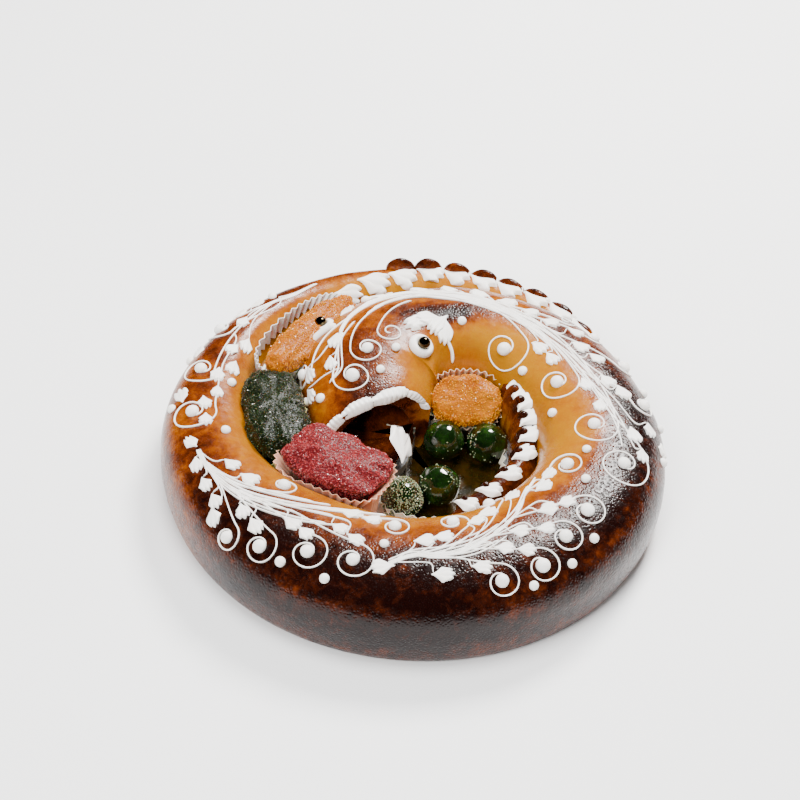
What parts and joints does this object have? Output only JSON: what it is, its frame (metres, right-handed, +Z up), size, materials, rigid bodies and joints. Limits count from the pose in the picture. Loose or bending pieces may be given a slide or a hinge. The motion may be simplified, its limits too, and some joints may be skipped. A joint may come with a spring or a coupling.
{
  "type": "marzipan eel",
  "caption": "Coiled marzipan eel, browned and glazed, with piped royal icing scrolls, bead eyes and a crimped tail fin, filled with candied fruit in paper cases",
  "frame": {"origin": "bottom centre of the bounding box, on the surface that the eel lies on", "axes": "+Z up; the eel's open mouth faces -Y, its crimped tail lies along +Y, and its body runs clockwise seen from above"},
  "size_m": [0.2614, 0.265, 0.0537],
  "materials": {
    "marzipan": "egg-glazed, browned along the back",
    "bead": "polished dark sugar bead",
    "green_cherry": "glossy with syrup",
    "red_fruit": "sugared",
    "green_fruit": "sugared",
    "orange_fruit": "sugared",
    "paper_case": "plain, fluted"
  },
  "bodies": {
    "root": {"eel": "marzipan", "eye_1": "bead", "eye_2": "bead", "cherry_1": "green_cherry", "cherry_2": "green_cherry", "cherry_3": "green_cherry", "cherry_4": "green_cherry", "case_cherries": "paper_case", "case_red": "paper_case", "fruit_red": "red_fruit", "case_green": "paper_case", "fruit_green": "green_fruit", "case_orange_centre": "paper_case", "fruit_orange_centre": "orange_fruit", "case_orange_back": "paper_case", "fruit_orange_back": "orange_fruit"}
  },
  "joints": []
}
